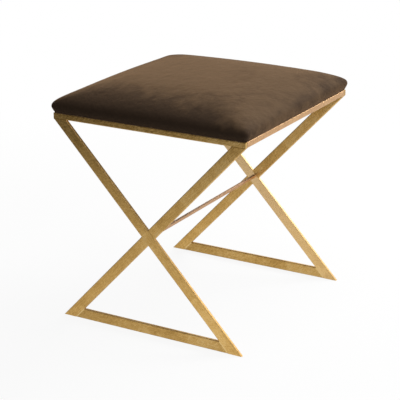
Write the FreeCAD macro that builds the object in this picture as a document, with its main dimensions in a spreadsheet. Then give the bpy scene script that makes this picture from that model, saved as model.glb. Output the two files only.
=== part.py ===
import FreeCAD, Part
import math
import os
import Sketcher

# X-frame stool: two welded flat-bar X frames, joined by a slim top frame and one stretcher,
# carry an upholstered seat. Millimetres, +Z up, origin on the floor under the seat's centre,
# front X frame towards -Y.

doc = FreeCAD.newDocument("x_frame_stool")

# Driving dimensions
DIMENSIONS = {
    # welded frame
    "frame_width": 457.0,
    "frame_depth": 469.0,
    "frame_height": 458.0,
    "top_bar_height": 12.0,
    "bar_face": 23.0,
    "bar_depth": 6.4,
    "tip_inset": 7.0,
    "edge_radius": 1.0,
    "stretcher_side": 6.5,
    # seat fixing
    "plate_reach": 46.0,
    "plate_nose": 7.0,
    "plate_thickness": 3.0,
    "screw_setback": 24.0,
    "screw_shank": 4.0,
    "screw_length": 14.0,
    "screw_head": 8.4,
    "screw_head_height": 2.4,
    "screw_rim_height": 1.0,
    "screw_crown_radius": 2.6,
    "screw_clearance": 0.2,
    "pilot_spare": 1.0,
    "washer_width": 11.0,
    "washer_thickness": 1.0,
    # seat base
    "board_thickness": 12.0,
    "board_corner": 9.0,
    "velvet_thickness": 1.2,
    "velvet_return": 27.0,
    "return_corner": 6.0,
    "dust_cover_thickness": 0.8,
    "dust_cover_inset": 14.0,
    "dust_cover_corner": 5.0,
    "batting_thickness": 4.0,
    "batting_edge": 1.0,
    "soft_gap": 0.3,
    # staples under the seat
    "staple_crown": 10.0,
    "staple_width": 1.3,
    "staple_height": 0.5,
    "staple_setback": 5.0,
    "staple_pitch": 46.0,
    # form of the cushion: the outside is a run of tangent arcs from the frame up over the crown
    "belly_height": 20.4,
    "belly_bulge": 4.6,
    "side_radius": 40.0,
    "turn_radius": 9.9,
    "shoulder_radius": 47.3,
    "brow_radius": 392.0,
    "crown_radius": 1645.0,
    "turn_angle": 47.2,
    "shoulder_angle": 70.2,
    "corner_radius": 13.0,
    "dome_radius": 1374.0,
    "dome_centre": -1306.0,
    "trim_margin": 12.0,
    "trim_height": 84.0,
}

sheet = doc.addObject("Spreadsheet::Sheet", "Dims")
for row, (alias, size) in enumerate(DIMENSIONS.items(), start=1):
    sheet.set("A%d" % row, alias)
    sheet.set("B%d" % row, str(size))
    sheet.setAlias("B%d" % row, alias)
doc.recompute()

# Sizes that follow from the driving ones: the legs run corner to corner, so their angle
# comes from the frame's height and width and from the bar's own face.
layout = doc.addObject("App::FeaturePython", "Layout")


def derive(name, formula):
    layout.addProperty("App::PropertyFloat", name, "Derived")
    layout.setExpression(name, formula)
    doc.recompute()


derive("half_width", "Dims.frame_width / 2")
derive("half_depth", "Dims.frame_depth / 2")
derive("rise", "Dims.frame_height - Dims.top_bar_height")
derive("reach", "Dims.frame_width - Dims.tip_inset")
derive("leg_slope", "tan(atan(Layout.rise / Layout.reach)"
       " + asin(Dims.bar_face / sqrt(Layout.rise ^ 2 + Layout.reach ^ 2)))")
derive("leg_cut", "Dims.bar_face * sqrt(1 + 1 / Layout.leg_slope ^ 2)")
derive("cross_height", "(Layout.rise - Dims.tip_inset * Layout.leg_slope) / 2")
derive("cross_half_width", "Layout.leg_cut / 2")
derive("cross_half_height", "Layout.leg_cut / 2 * Layout.leg_slope")
derive("foot_outer", "Layout.half_width - Dims.tip_inset")
derive("foot_inner", "Layout.half_width - Dims.tip_inset - Layout.leg_cut")
derive("inner_half_width", "Layout.half_width - Dims.bar_depth")
derive("inner_half_depth", "Layout.half_depth - Dims.bar_depth")
derive("screw_x", "Layout.inner_half_width - Dims.screw_setback")
derive("screw_y", "Layout.inner_half_depth - Dims.screw_setback")
derive("plate_top", "Dims.frame_height - Dims.dust_cover_thickness")
derive("screw_grip", "Dims.screw_length - Dims.washer_thickness - Dims.plate_thickness"
       " - Dims.dust_cover_thickness - Dims.velvet_thickness")
derive("trim_reach", "Layout.half_width + Layout.half_depth")
derive("board_top", "Dims.velvet_thickness + Dims.board_thickness")
derive("base_inset", "Dims.side_radius - Dims.belly_bulge"
       " - sqrt(Dims.side_radius ^ 2 - Dims.belly_height ^ 2)")
derive("board_inset", "Layout.base_inset + Dims.velvet_thickness + Dims.batting_edge + 2 * Dims.soft_gap")
derive("batting_depth", "Dims.velvet_thickness + Dims.soft_gap")
derive("hollow_depth", "Layout.batting_depth + Dims.batting_thickness")
derive("foam_depth", "Layout.hollow_depth + Dims.soft_gap")


EDGE_TOLERANCE = 0.001
ACROSS = FreeCAD.Vector(1, 0, 0)
DEEP = FreeCAD.Vector(0, 1, 0)
UPRIGHT = FreeCAD.Vector(0, 0, 1)
ARCS = ("side", "turn", "shoulder", "brow", "crown")


def number(formula):
    result = layout.evalExpression(formula)
    return float(getattr(result, "Value", result))


def new_body(label):
    body = doc.addObject("PartDesign::Body", label)
    body.Label = label
    return body


def place(body, x="0", y="0", z="0", turn=0.0):
    body.Placement = FreeCAD.Placement(FreeCAD.Vector(), FreeCAD.Rotation(UPRIGHT, turn))
    for axis, formula in (("x", x), ("y", y), ("z", z)):
        body.setExpression("Placement.Base." + axis, formula)


def new_sketch(body, name, role, offset=("0", "0", "0")):
    sketch = body.newObject("Sketcher::SketchObject", name)
    planes = [feature for feature in body.Origin.OriginFeatures if feature.Role == role]
    sketch.AttachmentSupport = [(planes[0], "")]
    sketch.MapMode = "FlatFace"
    for axis, formula in zip("xyz", offset):
        if formula != "0":
            sketch.setExpression("AttachmentOffset.Base." + axis, formula)
    return sketch


def bind(sketch, kind, geometry, point, formula):
    index = sketch.addConstraint(Sketcher.Constraint(kind, -1, 1, geometry, point, number(formula)))
    sketch.setExpression("Constraints[%d]" % index, formula)


def bind_point(sketch, geometry, point, x, y):
    bind(sketch, "DistanceX", geometry, point, x)
    bind(sketch, "DistanceY", geometry, point, y)


def bind_radius(sketch, geometry, formula):
    index = sketch.addConstraint(Sketcher.Constraint("Radius", geometry, number(formula)))
    sketch.setExpression("Constraints[%d]" % index, formula)


def polygon(sketch, corners):
    points = [FreeCAD.Vector(number(x), number(y), 0) for x, y in corners]
    count = len(points)
    for k in range(count):
        sketch.addGeometry(Part.LineSegment(points[k], points[(k + 1) % count]), False)
    for k in range(count):
        sketch.addConstraint(Sketcher.Constraint("Coincident", k, 2, (k + 1) % count, 1))
    for k, (x, y) in enumerate(corners):
        bind_point(sketch, k, 1, x, y)


def circle(sketch, x, y, radius):
    centre = FreeCAD.Vector(number(x), number(y), 0)
    index = sketch.addGeometry(Part.Circle(centre, FreeCAD.Vector(0, 0, 1), number(radius)), False)
    bind_point(sketch, index, 3, x, y)
    bind_radius(sketch, index, radius)


def rounded_rectangle(sketch, half_x, half_y, radius):
    # four lines joined by four tangent quarter arcs, counter-clockwise from the lower side
    a, b, r = number(half_x), number(half_y), number(radius)
    corners = [(a - r, r - b, -90), (a - r, b - r, 0), (r - a, b - r, 90), (r - a, r - b, 180)]
    for k, (cx, cy, start) in enumerate(corners):
        ring = Part.Circle(FreeCAD.Vector(cx, cy, 0), FreeCAD.Vector(0, 0, 1), r)
        sketch.addGeometry(Part.ArcOfCircle(ring, math.radians(start), math.radians(start + 90)), False)
        px, py, previous = corners[k - 1]
        angle = math.radians(previous + 90)
        line_start = FreeCAD.Vector(px + r * math.cos(angle), py + r * math.sin(angle), 0)
        angle = math.radians(start)
        line_end = FreeCAD.Vector(cx + r * math.cos(angle), cy + r * math.sin(angle), 0)
        sketch.addGeometry(Part.LineSegment(line_start, line_end), False)
    for k in range(4):
        arc, line, following = 2 * k, 2 * k + 1, (2 * k + 3) % 8
        sketch.addConstraint(Sketcher.Constraint("Tangent", line, 2, arc, 1))
        sketch.addConstraint(Sketcher.Constraint("Tangent", arc, 2, following, 1))
        x = half_x if k < 2 else "-(%s)" % half_x
        y = half_y if k in (1, 2) else "-(%s)" % half_y
        shift_x = "-" if k < 2 else "+"
        shift_y = "-" if k in (1, 2) else "+"
        bind_point(sketch, arc, 3, "%s %s (%s)" % (x, shift_x, radius), "%s %s (%s)" % (y, shift_y, radius))
    bind_radius(sketch, 0, radius)


def crowned_profile(sketch, half, depth, floor):
    # upright section of the cushion: a base line, then nine tangent arcs from the right foot over the
    # crown to the left foot; depth is how far the section lies under the velvet's outside
    edge = "(%s + Dims.belly_bulge)" % half
    side_x = "%s - Dims.side_radius" % edge
    turn_x = "%s - Dims.turn_radius" % edge
    shoulder_x = turn_x + " + (Dims.turn_radius - Dims.shoulder_radius) * cos(Dims.turn_angle)"
    brow_x = shoulder_x + " + (Dims.shoulder_radius - Dims.brow_radius) * cos(Dims.shoulder_angle)"
    level = number("Dims.belly_height")
    radii = [number("Dims.%s_radius - %s" % (name, depth)) for name in ARCS]
    shifts = [number("Dims.%s_radius" % name) for name in ARCS]
    turn = math.radians(number("Dims.turn_angle"))
    shoulder = math.radians(number("Dims.shoulder_angle"))
    foot = math.asin((number(floor) - level) / radii[0])
    centres = [(number(side_x), level), (number(turn_x), level)]
    for before, after, angle in ((1, 2, turn), (2, 3, shoulder)):
        run = shifts[before] - shifts[after]
        x, y = centres[-1]
        centres.append((x + run * math.cos(angle), y + run * math.sin(angle)))
    brow, top = centres[3], shifts[4] - shifts[3]
    centres.append((0.0, brow[1] - math.sqrt(top ** 2 - brow[0] ** 2)))
    crown = math.acos(brow[0] / top)
    joints = [foot, 0.0, turn, shoulder, crown, math.pi - crown]
    reach = centres[0][0] + radii[0] * math.cos(foot)
    ends = FreeCAD.Vector(-reach, number(floor), 0), FreeCAD.Vector(reach, number(floor), 0)
    sketch.addGeometry(Part.LineSegment(*ends), False)

    def arc(x, y, radius, start, end):
        ring = Part.Circle(FreeCAD.Vector(x, y, 0), FreeCAD.Vector(0, 0, 1), radius)
        sketch.addGeometry(Part.ArcOfCircle(ring, start, end), False)

    for k in range(5):
        arc(centres[k][0], centres[k][1], radii[k], joints[k], joints[k + 1])
    for k in (3, 2, 1, 0):
        arc(-centres[k][0], centres[k][1], radii[k], math.pi - joints[k + 1], math.pi - joints[k])
    sketch.addConstraint(Sketcher.Constraint("Coincident", 0, 2, 1, 1))
    sketch.addConstraint(Sketcher.Constraint("Coincident", 9, 2, 0, 1))
    for k in range(1, 9):
        sketch.addConstraint(Sketcher.Constraint("Tangent", k, 2, k + 1, 1))
    for k in range(9):
        bind_radius(sketch, k + 1, "Dims.%s_radius - %s" % (ARCS[min(k, 8 - k)], depth))
    for kind, geometry, point, formula in (
        ("DistanceY", 0, 1, floor), ("DistanceY", 0, 2, floor),
        ("DistanceX", 1, 3, side_x), ("DistanceY", 1, 3, "Dims.belly_height"),
        ("DistanceX", 9, 3, "-(%s)" % side_x), ("DistanceY", 9, 3, "Dims.belly_height"),
        ("DistanceY", 2, 3, "Dims.belly_height"), ("DistanceY", 8, 3, "Dims.belly_height"),
        ("DistanceX", 3, 3, shoulder_x), ("DistanceX", 7, 3, "-(%s)" % shoulder_x),
        ("DistanceX", 4, 3, brow_x), ("DistanceX", 6, 3, "-(%s)" % brow_x),
    ):
        bind(sketch, kind, geometry, point, formula)


def check_cut(body, before):
    if not body.Shape.Volume < before:
        raise RuntimeError(body.Label + ": the cut takes nothing away")


def pad(body, sketch, length, flipped=False):
    feature = body.newObject("PartDesign::Pad", "Pad")
    feature.Profile = sketch
    feature.Reversed = flipped
    feature.setExpression("Length", length)
    doc.recompute()
    return feature


def pocket(body, sketch, length, flipped=False):
    before = body.Shape.Volume
    feature = body.newObject("PartDesign::Pocket", "Pocket")
    feature.Profile = sketch
    feature.Reversed = flipped
    feature.setExpression("Length", length)
    doc.recompute()
    check_cut(body, before)


def round_edges(body, base, along):
    # rounds the edges that run along one of the given directions
    names = []
    for index, edge in enumerate(base.Shape.Edges, start=1):
        if len(edge.Vertexes) < 2:
            continue
        run = (edge.Vertexes[1].Point - edge.Vertexes[0].Point).normalize()
        if any(run.isParallel(direction, EDGE_TOLERANCE) for direction in along):
            names.append("Edge%d" % index)
    feature = body.newObject("PartDesign::Fillet", "Rounding")
    feature.Base = (base, names)
    feature.setExpression("Radius", "Dims.edge_radius")
    doc.recompute()


def mirror_to_corners(body, feature):
    # copies a feature made at the +X +Y corner to the other three
    multi = body.newObject("PartDesign::MultiTransform", "Corners")
    multi.Originals = [feature]
    steps = []
    for role in ("YZ_Plane", "XZ_Plane"):
        mirror = body.newObject("PartDesign::Mirrored", "Mirrored")
        mirror.MirrorPlane = ([f for f in body.Origin.OriginFeatures if f.Role == role][0], [""])
        steps.append(mirror)
    multi.Transformations = steps
    body.Tip = multi
    doc.recompute()


SIDES = {"front": "Dims.bar_depth - Layout.half_depth", "back": "Layout.half_depth"}
parts = []


def flat_bar(name, side, corners, along):
    # a bar cut from flat stock: its face drawn in the X frame's plane, its depth padded
    body = new_body(name)
    sketch = new_sketch(body, name + "_face", "XZ_Plane")
    polygon(sketch, corners)
    round_edges(body, pad(body, sketch, "Dims.bar_depth"), along)
    place(body, y=SIDES[side])
    parts.append(body)


# Front and back X frames: top rail, one full-length leg, two half legs welded to it, bottom rail
slope = number("Layout.leg_slope")
falling = FreeCAD.Vector(1, 0, -slope).normalize()
rising = FreeCAD.Vector(1, 0, slope).normalize()
for side in SIDES:
    flat_bar("top_rail_" + side, side, [
        ("-Layout.half_width", "Layout.rise"),
        ("Layout.half_width", "Layout.rise"),
        ("Layout.half_width", "Dims.frame_height"),
        ("-Layout.half_width", "Dims.frame_height"),
    ], (ACROSS, UPRIGHT))
    flat_bar("leg_long_" + side, side, [
        ("-Layout.half_width", "Layout.rise"),
        ("Layout.foot_inner", "0"),
        ("Layout.foot_outer", "0"),
        ("Layout.leg_cut - Layout.half_width", "Layout.rise"),
    ], (falling,))
    flat_bar("leg_upper_" + side, side, [
        ("Layout.half_width", "Layout.rise"),
        ("Layout.half_width - Layout.leg_cut", "Layout.rise"),
        ("0", "Layout.cross_height + Layout.cross_half_height"),
        ("Layout.cross_half_width", "Layout.cross_height"),
    ], (rising,))
    flat_bar("leg_lower_" + side, side, [
        ("-Layout.foot_outer", "0"),
        ("-Layout.foot_inner", "0"),
        ("0", "Layout.cross_height - Layout.cross_half_height"),
        ("-Layout.cross_half_width", "Layout.cross_height"),
    ], (rising,))
    flat_bar("bottom_rail_" + side, side, [
        ("-Layout.foot_inner", "0"),
        ("Layout.foot_inner", "0"),
        ("Layout.foot_inner - Dims.bar_face / Layout.leg_slope", "Dims.bar_face"),
        ("Dims.bar_face / Layout.leg_slope - Layout.foot_inner", "Dims.bar_face"),
    ], (ACROSS,))

# Side rails of the top frame, welded between the front and back rails
for name, centre in (("left", "Dims.bar_depth / 2 - Layout.half_width"),
                     ("right", "Layout.half_width - Dims.bar_depth / 2")):
    body = new_body("top_rail_" + name)
    sketch = new_sketch(body, "section", "XZ_Plane")
    polygon(sketch, [
        ("-Dims.bar_depth / 2", "0"),
        ("Dims.bar_depth / 2", "0"),
        ("Dims.bar_depth / 2", "Dims.top_bar_height"),
        ("-Dims.bar_depth / 2", "Dims.top_bar_height"),
    ])
    round_edges(body, pad(body, sketch, "2 * Layout.inner_half_depth"), (DEEP,))
    place(body, x=centre, y="Layout.inner_half_depth", z="Layout.rise")
    parts.append(body)

# Square stretcher between the two crossings
body = new_body("stretcher")
sketch = new_sketch(body, "section", "XZ_Plane")
polygon(sketch, [
    ("-Dims.stretcher_side / 2", "-Dims.stretcher_side / 2"),
    ("Dims.stretcher_side / 2", "-Dims.stretcher_side / 2"),
    ("Dims.stretcher_side / 2", "Dims.stretcher_side / 2"),
    ("-Dims.stretcher_side / 2", "Dims.stretcher_side / 2"),
])
round_edges(body, pad(body, sketch, "2 * Layout.inner_half_depth"), (DEEP,))
place(body, y="Layout.inner_half_depth", z="Layout.cross_height")
parts.append(body)

# Corner plates welded inside the top frame; the seat is screwed down through them
PLATES = (
    ("corner_plate_front_left", "-Layout.inner_half_width", "-Layout.inner_half_depth", 0.0),
    ("corner_plate_front_right", "Layout.inner_half_width", "-Layout.inner_half_depth", 90.0),
    ("corner_plate_back_right", "Layout.inner_half_width", "Layout.inner_half_depth", 180.0),
    ("corner_plate_back_left", "-Layout.inner_half_width", "Layout.inner_half_depth", 270.0),
)
for name, x, y, turn in PLATES:
    body = new_body(name)
    outline = new_sketch(body, "outline", "XY_Plane")
    polygon(outline, [
        ("0", "0"),
        ("Dims.plate_reach", "0"),
        ("Dims.plate_reach", "Dims.plate_nose"),
        ("Dims.plate_nose", "Dims.plate_reach"),
        ("0", "Dims.plate_reach"),
    ])
    pad(body, outline, "Dims.plate_thickness", flipped=True)
    bore = new_sketch(body, "screw_hole", "XY_Plane")
    circle(bore, "Dims.screw_setback", "Dims.screw_setback", "Dims.screw_shank / 2 + Dims.screw_clearance")
    pocket(body, bore, "Dims.plate_thickness")
    place(body, x=x, y=y, z="Layout.plate_top", turn=turn)
    parts.append(body)


# Turned fasteners: one profile revolved at a corner, then mirrored to the other three
def turned_group(name, profile, height):
    body = new_body(name)
    sketch = new_sketch(body, "profile", "XZ_Plane", ("Layout.screw_x", height, "-Layout.screw_y"))
    polygon(sketch, profile)
    feature = body.newObject("PartDesign::Revolution", "Revolution")
    feature.Profile = sketch
    feature.ReferenceAxis = (sketch, ["V_Axis"])
    feature.Angle = 360.0
    doc.recompute()
    mirror_to_corners(body, feature)
    place(body)
    parts.append(body)


turned_group("washers", [
    ("Dims.screw_shank / 2 + Dims.screw_clearance", "-Dims.washer_thickness"),
    ("Dims.washer_width / 2", "-Dims.washer_thickness"),
    ("Dims.washer_width / 2", "0"),
    ("Dims.screw_shank / 2 + Dims.screw_clearance", "0"),
], "Layout.plate_top - Dims.plate_thickness")
turned_group("seat_screws", [
    ("0", "-Dims.screw_head_height"),
    ("Dims.screw_crown_radius", "-Dims.screw_head_height"),
    ("Dims.screw_head / 2", "-Dims.screw_rim_height"),
    ("Dims.screw_head / 2", "0"),
    ("Dims.screw_shank / 2", "0"),
    ("Dims.screw_shank / 2", "Dims.screw_length - Dims.screw_shank"),
    ("0", "Dims.screw_length"),
], "Layout.plate_top - Dims.plate_thickness - Dims.washer_thickness")

# Seat board of plywood, with a pilot hole for each screw
body = new_body("seat_board")
outline = new_sketch(body, "outline", "XY_Plane")
rounded_rectangle(outline, "Layout.half_width - Layout.board_inset",
                  "Layout.half_depth - Layout.board_inset", "Dims.board_corner")
pad(body, outline, "Dims.board_thickness")
pilots = new_sketch(body, "pilot_holes", "XY_Plane")
for x in ("Layout.screw_x", "-Layout.screw_x"):
    for y in ("Layout.screw_y", "-Layout.screw_y"):
        circle(pilots, x, y, "Dims.screw_shank / 2 + Dims.screw_clearance")
pocket(body, pilots, "Layout.screw_grip + Dims.pilot_spare", flipped=True)
place(body, z="Dims.frame_height + Dims.velvet_thickness")
parts.append(body)

# Dust cover: thin cloth under the board that hides the raw edge of the velvet
body = new_body("dust_cover")
outline = new_sketch(body, "outline", "XY_Plane")
rounded_rectangle(outline, "Layout.half_width - Dims.dust_cover_inset",
                  "Layout.half_depth - Dims.dust_cover_inset", "Dims.dust_cover_corner")
for x in ("Layout.screw_x", "-Layout.screw_x"):
    for y in ("Layout.screw_y", "-Layout.screw_y"):
        circle(outline, x, y, "Dims.screw_shank / 2 + Dims.screw_clearance")
pad(body, outline, "Dims.dust_cover_thickness", flipped=True)
place(body, z="Dims.frame_height")
parts.append(body)

# Staples that hold the dust cover and the velvet's return to the board, as one group of crowns
crown, wire, drop = number("Dims.staple_crown"), number("Dims.staple_width"), number("Dims.staple_height")
edge_x = number("Layout.half_width - Dims.dust_cover_inset - Dims.staple_setback")
edge_y = number("Layout.half_depth - Dims.dust_cover_inset - Dims.staple_setback")
under = number("Dims.frame_height - Dims.dust_cover_thickness")
keep_off = number("Dims.plate_reach - Dims.dust_cover_inset + Dims.bar_depth + Dims.staple_crown")


def staple_row(half_length):
    span = 2 * (half_length - keep_off)
    count = max(2, round(span / number("Dims.staple_pitch")) + 1)
    return [-span / 2 + k * span / (count - 1) for k in range(count)]


crowns = []
for sign in (-1, 1):
    for x in staple_row(edge_x):
        crowns.append(Part.makeBox(crown, wire, drop,
                                   FreeCAD.Vector(x - crown / 2, sign * edge_y - wire / 2, under - drop)))
    for y in staple_row(edge_y):
        crowns.append(Part.makeBox(wire, crown, drop,
                                   FreeCAD.Vector(sign * edge_x - wire / 2, y - crown / 2, under - drop)))
staples = doc.addObject("Part::Feature", "staples")
staples.Label = "staples"
staples.Shape = Part.makeCompound(crowns)
staples.Placement = FreeCAD.Placement()
parts.append(staples)


# Helpers that trim the cushion's forms
def frame_in(sketch, low, high):
    # a rectangle round the section, so that what lies between the two is cut away
    first = sketch.GeometryCount
    left, right = "-Layout.trim_reach", "Layout.trim_reach"
    corners = [(left, low), (right, low), (right, high), (left, high)]
    points = [FreeCAD.Vector(number(x), number(y), 0) for x, y in corners]
    for k in range(4):
        sketch.addGeometry(Part.LineSegment(points[k], points[(k + 1) % 4]), False)
    for k in range(4):
        sketch.addConstraint(Sketcher.Constraint("Coincident", first + k, 2, first + (k + 1) % 4, 1))
    for k, (x, y) in enumerate(corners):
        bind_point(sketch, first + k, 1, x, y)


def trim(body, sketch):
    before = body.Shape.Volume
    feature = body.newObject("PartDesign::Pocket", "Trim")
    feature.Profile = sketch
    feature.Type = "ThroughAll"
    feature.Midplane = True
    doc.recompute()
    check_cut(body, before)


def dome_section(sketch, radius):
    # the ground above a wide dome, on one side of the upright axis
    reach, height = "Layout.trim_reach", "Dims.trim_height"
    size, out, up, centre = number(radius), number(reach), number(height), number("Dims.dome_centre")
    low = math.acos(out / size)
    ring = Part.Circle(FreeCAD.Vector(0, centre, 0), FreeCAD.Vector(0, 0, 1), size)
    sketch.addGeometry(Part.ArcOfCircle(ring, low, math.pi / 2), False)
    edge = FreeCAD.Vector(out, centre + size * math.sin(low), 0)
    summit = FreeCAD.Vector(0, centre + size, 0)
    corners = [summit, FreeCAD.Vector(0, up, 0), FreeCAD.Vector(out, up, 0), edge]
    for k in range(3):
        sketch.addGeometry(Part.LineSegment(corners[k], corners[k + 1]), False)
    for k in range(4):
        sketch.addConstraint(Sketcher.Constraint("Coincident", k, 2, (k + 1) % 4, 1))
    bind_point(sketch, 0, 3, "0", "Dims.dome_centre")
    bind_point(sketch, 2, 1, "0", height)
    bind_point(sketch, 3, 1, reach, height)
    bind(sketch, "DistanceX", 0, 2, "0")
    bind(sketch, "DistanceX", 0, 1, reach)
    bind_radius(sketch, 0, radius)


# The cushion's form, for a layer that lies a given depth under the velvet's outside: the front section
# padded through, trimmed to the side section, to the rounded plan and to a wide dome that takes the
# sharpness off the four hips.
def cushion_form(label, depth, floor):
    body = new_body(label)
    front = new_sketch(body, "front_section", "XZ_Plane")
    crowned_profile(front, "Layout.half_width", depth, floor)
    block = body.newObject("PartDesign::Pad", "Pad")
    block.Profile = front
    block.Midplane = True
    block.setExpression("Length", "2 * (Layout.half_depth + Dims.trim_margin)")
    doc.recompute()
    side = new_sketch(body, "side_section", "YZ_Plane")
    crowned_profile(side, "Layout.half_depth", depth, floor)
    frame_in(side, "-Dims.trim_margin", "Dims.trim_height")
    trim(body, side)
    plan = new_sketch(body, "plan", "XY_Plane")
    rounded_rectangle(plan, "(Layout.half_width + Dims.belly_bulge - %s)" % depth,
                      "(Layout.half_depth + Dims.belly_bulge - %s)" % depth,
                      "(Dims.corner_radius - %s)" % depth)
    frame_in(plan, "-Layout.trim_reach", "Layout.trim_reach")
    trim(body, plan)
    before = body.Shape.Volume
    dome = new_sketch(body, "dome", "XZ_Plane")
    dome_section(dome, "Dims.dome_radius - " + depth)
    groove = body.newObject("PartDesign::Groove", "Groove")
    groove.Profile = dome
    groove.ReferenceAxis = (dome, ["V_Axis"])
    groove.Angle = 360.0
    doc.recompute()
    check_cut(body, before)
    return body


def hollowed(label, outside, inside):
    cut = doc.addObject("Part::Cut", label)
    cut.Label = label
    cut.Base = outside
    cut.Tool = inside
    cut.setExpression("Placement.Base.z", "Dims.frame_height")
    doc.recompute()
    parts.append(cut)


# Foam pad on the board
foam = cushion_form("foam_pad", "Layout.foam_depth", "Layout.board_top")
place(foam, z="Dims.frame_height")
parts.append(foam)

# Batting laid over the foam and drawn down round the board's edge
batting = cushion_form("batting_outside", "Layout.batting_depth", "Layout.batting_depth")
room = new_sketch(batting, "board_room", "XY_Plane", ("0", "0", "Layout.batting_depth"))
rounded_rectangle(room, "Layout.half_width - Layout.board_inset + Dims.soft_gap",
                  "Layout.half_depth - Layout.board_inset + Dims.soft_gap",
                  "Dims.board_corner + Dims.soft_gap")
pocket(batting, room, "Layout.board_top - Layout.batting_depth", flipped=True)
hollowed("batting_wrap", batting, cushion_form("batting_inside", "Layout.hollow_depth", "Layout.board_top"))

# Velvet cover: drawn over the cushion, round the board's edge and in under it
velvet = cushion_form("velvet_outside", "0", "0")
opening = new_sketch(velvet, "opening", "XY_Plane")
rounded_rectangle(opening, "Layout.half_width - Dims.velvet_return",
                  "Layout.half_depth - Dims.velvet_return", "Dims.return_corner")
pocket(velvet, opening, "Dims.velvet_thickness", flipped=True)
cavity = cushion_form("velvet_inside", "Dims.velvet_thickness", "Dims.velvet_thickness")
hollowed("velvet_cover", velvet, cavity)

# Every object and every shape is sound before anything is written
doc.recompute()
for item in doc.Objects:
    if "Invalid" in item.State or "Error" in item.State:
        raise RuntimeError("%s is %s" % (item.Label, item.State))
os.makedirs("parts", exist_ok=True)
for piece in parts:
    shape = piece.Shape
    if shape.isNull() or not shape.isValid() or not shape.Solids:
        raise RuntimeError(piece.Label + " has no sound shape")
    shape.exportStep("parts/%s.step" % piece.Label)
    print("%-26s solids %2d volume %10.1f mm3" % (piece.Label, len(shape.Solids), shape.Volume))
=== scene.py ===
import math
import bpy
import bmesh
from mathutils import Matrix, Vector


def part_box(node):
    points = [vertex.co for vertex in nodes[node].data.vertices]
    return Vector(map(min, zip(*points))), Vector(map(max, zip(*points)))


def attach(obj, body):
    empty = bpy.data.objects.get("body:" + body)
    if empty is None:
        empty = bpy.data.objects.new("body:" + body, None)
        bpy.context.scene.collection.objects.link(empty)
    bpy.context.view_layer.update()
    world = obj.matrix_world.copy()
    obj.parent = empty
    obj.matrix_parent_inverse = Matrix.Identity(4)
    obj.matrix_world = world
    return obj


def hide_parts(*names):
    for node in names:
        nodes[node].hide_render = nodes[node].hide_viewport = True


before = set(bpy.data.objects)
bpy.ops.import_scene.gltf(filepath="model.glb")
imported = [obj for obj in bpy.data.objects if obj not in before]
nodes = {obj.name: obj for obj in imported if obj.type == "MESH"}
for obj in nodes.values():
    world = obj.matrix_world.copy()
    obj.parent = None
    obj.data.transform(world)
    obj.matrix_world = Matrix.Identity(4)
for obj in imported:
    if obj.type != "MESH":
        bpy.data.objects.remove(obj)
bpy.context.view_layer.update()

MM = 0.001
scene = bpy.context.scene


# The welded frame
# Ten flat iron bars make the two X frames, two slim rails join them at the top and one square bar at the
# crossings. All are ground flush, primed in red, laid with imitation gold leaf in overlapping sheets and
# rubbed back with a brush, so the arrises wear smooth with specks of primer and fine strokes run along and
# across each bar. The arrises are also painted paler, a painted highlight, and each set of bars is mixed
# towards a tone of its own, painted light and painted reflection for how that set catches the light.
low_front, high_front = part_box("top_rail_front")
half_width = high_front[0]
frame_top = high_front[2]
rail_bottom = low_front[2]
half_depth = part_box("top_rail_back")[1][1]
bar_depth = high_front[1] - low_front[1]
bar_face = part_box("bottom_rail_front")[1][2]
foot_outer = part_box("leg_long_front")[1][0]
foot_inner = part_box("bottom_rail_front")[1][0]
leg_cut = foot_outer - foot_inner
slope = math.asin(bar_face / leg_cut)
low_stretcher, high_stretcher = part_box("stretcher")
half_square = (high_stretcher[0] - low_stretcher[0]) / 2
crossing = (0, 0, (low_stretcher[2] + high_stretcher[2]) / 2)
rail_middle = (0, 0, (frame_top + rail_bottom) / 2)
half_rail = (frame_top - rail_bottom) / 2
depth_middle = half_depth - bar_depth / 2


def add_node(tree, kind, inputs=None, **settings):
    node = tree.nodes.new(kind)
    for key, value in settings.items():
        setattr(node, key, value)
    for key, value in (inputs or {}).items():
        if isinstance(value, bpy.types.NodeSocket):
            tree.links.new(value, node.inputs[key])
        else:
            node.inputs[key].default_value = value
    return node


def math_node(tree, operation, *values, clamp=False):
    node = tree.nodes.new("ShaderNodeMath")
    node.operation = operation
    node.use_clamp = clamp
    for index, value in enumerate(values):
        if isinstance(value, bpy.types.NodeSocket):
            tree.links.new(value, node.inputs[index])
        else:
            node.inputs[index].default_value = value
    return node.outputs[0]


def fade(tree, value, start, end, low=0.0, high=1.0):
    node = add_node(tree, "ShaderNodeMapRange", {"Value": value, "From Min": start, "From Max": end,
                                                 "To Min": low, "To Max": high})
    node.interpolation_type = "SMOOTHSTEP"
    return node.outputs["Result"]


def noise(tree, vector, scale, detail=2.0, roughness=0.5):
    return add_node(tree, "ShaderNodeTexNoise", {"Vector": vector, "Scale": scale, "Detail": detail,
                                                 "Roughness": roughness}).outputs["Fac"]


def stretched(tree, vector, scales):
    node = tree.nodes.new("ShaderNodeVectorMath")
    node.operation = "MULTIPLY"
    tree.links.new(vector, node.inputs[0])
    node.inputs[1].default_value = scales
    return node.outputs[0]


def mix_colour(tree, share, first, second):
    node = tree.nodes.new("ShaderNodeMix")
    node.data_type = "RGBA"
    sockets = node.inputs["Factor"], node.inputs[6], node.inputs[7]
    for socket, value in zip(sockets, (share, first, second)):
        if isinstance(value, bpy.types.NodeSocket):
            tree.links.new(value, socket)
        else:
            socket.default_value = value
    return node.outputs[2]


def ramp(tree, value, stops):
    node = tree.nodes.new("ShaderNodeValToRGB")
    tree.links.new(value, node.inputs["Fac"])
    elements = node.color_ramp.elements
    while len(elements) < len(stops):
        elements.new(0.5)
    for element, (place, colour) in zip(elements, stops):
        element.position = place
        element.color = (*colour, 1.0)
    return node.outputs["Color"]


def new_material(name):
    # the material, its tree, its Principled shader and the piece's own coordinates
    material = bpy.data.materials.new(name)
    material.use_nodes = True
    tree = material.node_tree
    here = add_node(tree, "ShaderNodeTexCoord").outputs["Object"]
    return material, tree, tree.nodes["Principled BSDF"], here


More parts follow.
